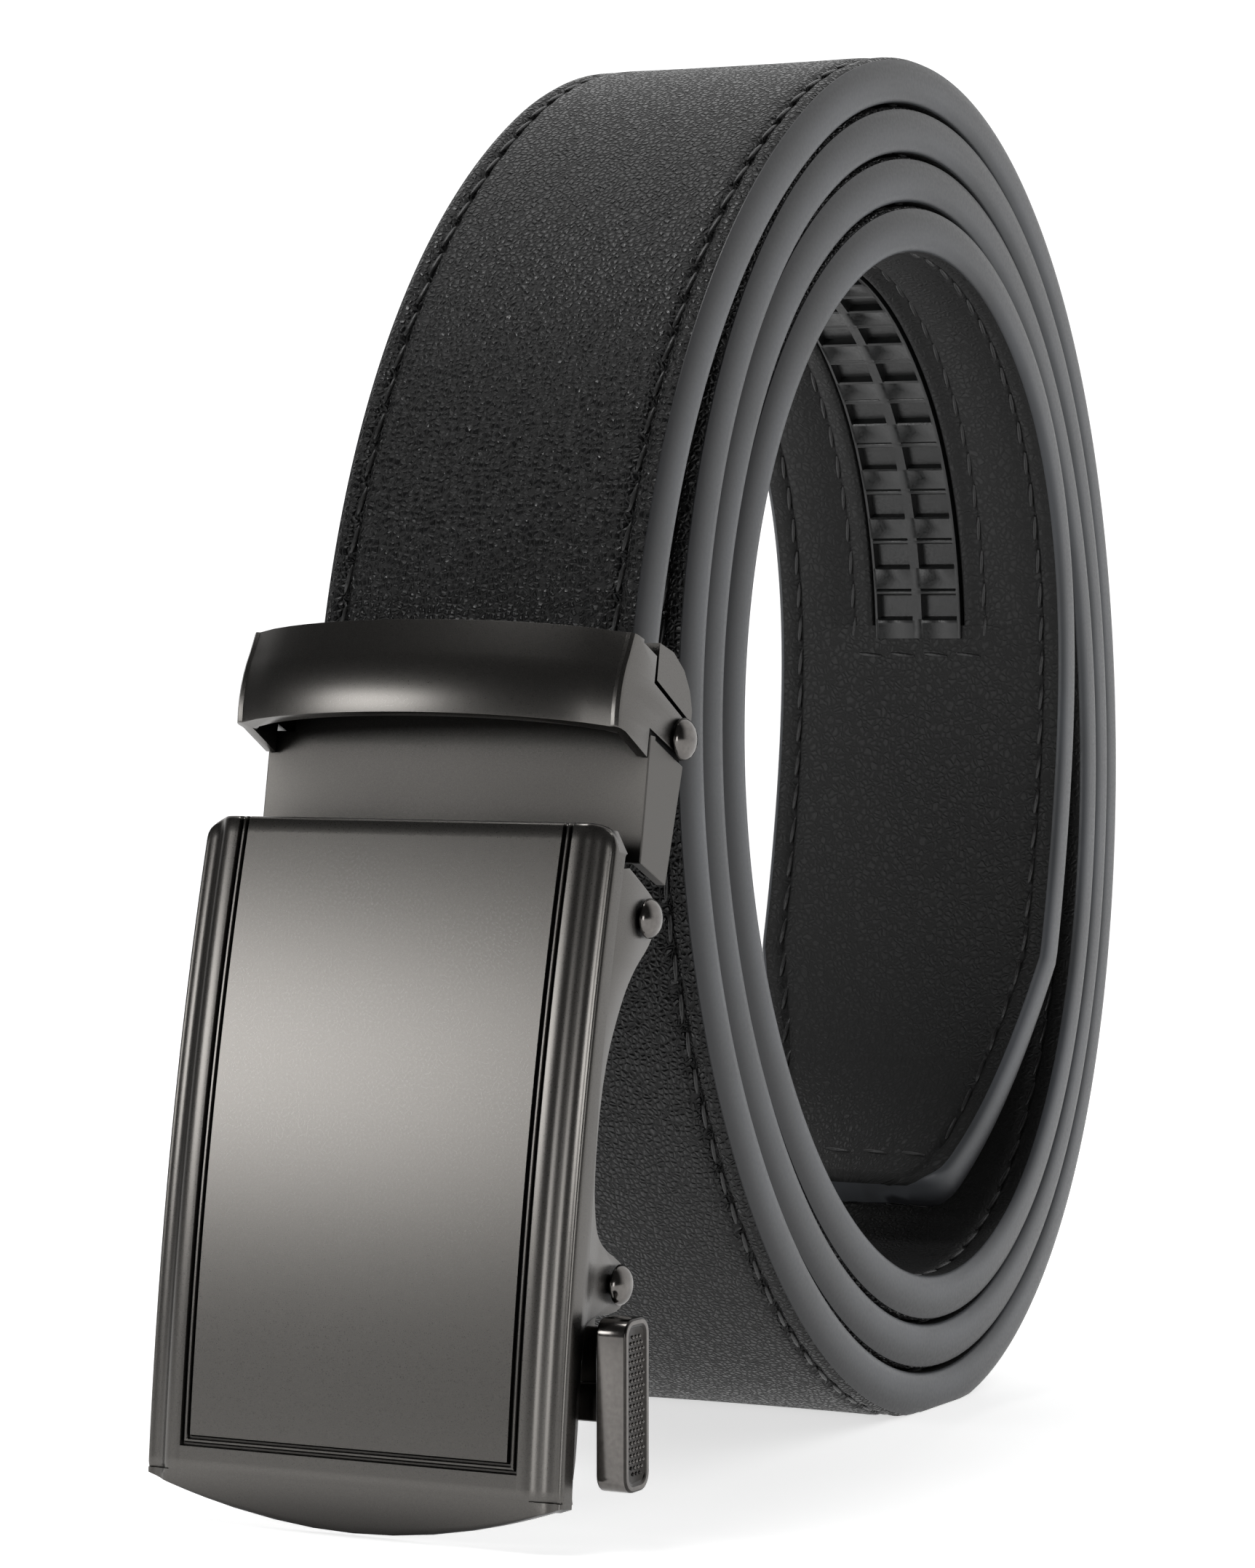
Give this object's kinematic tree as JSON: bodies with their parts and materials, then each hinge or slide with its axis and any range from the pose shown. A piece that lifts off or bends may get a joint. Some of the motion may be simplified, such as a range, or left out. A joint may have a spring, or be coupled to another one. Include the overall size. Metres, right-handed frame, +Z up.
{
  "type": "ratchet belt",
  "caption": "Leather belt rolled into an upright oval coil, with a ratchet buckle: curved front plate, keeper loop, clamp clip and side release lever.",
  "frame": {"origin": "middle of the short flat patch of the first turn that the coil stands on", "axes": "+Z up, X along the coil's axis with the release lever on the +X side, the buckle's front plate faces -Y"},
  "size_m": [0.0494, 0.1478, 0.1412],
  "materials": {
    "leather": "grained, semi-matt",
    "track_plastic": "moulded, semi-matt",
    "gunmetal": "fine-blasted satin gunmetal plating",
    "bright_pin": "polished gunmetal plating"
  },
  "bodies": {
    "belt": {"strap": "leather", "ratchet_track": "track_plastic", "clip_channel": "gunmetal", "keeper_loop": "gunmetal", "clip_rivet_left": "bright_pin", "clip_rivet_right": "bright_pin"},
    "plate": {"face_plate": "gunmetal", "hinge_pin": "bright_pin", "lever_pin": "bright_pin"},
    "lever": {"ratchet_pawl": "gunmetal", "release_lever": "gunmetal"},
    "jaw": {"clamp_jaw": "gunmetal"}
  },
  "joints": [
    {"name": "plate_hinge", "type": "hinge", "parent": "belt", "child": "plate", "pos_m": [0, -0.07919, 0.05576], "axis": [-1, 0, 0], "range_deg": [0, 36]},
    {"name": "lever_hinge", "type": "hinge", "parent": "plate", "child": "lever", "pos_m": [0, -0.08492, 0.02296], "axis": [1, 0, 0], "range_deg": [0, 12], "stiffness_Nm_per_rad": 0.01, "springref_deg": -20.05},
    {"name": "jaw_hinge", "type": "hinge", "parent": "belt", "child": "jaw", "pos_m": [0, -0.06968, 0.07187], "axis": [-1, 0, 0], "range_deg": [0, 20]}
  ]
}
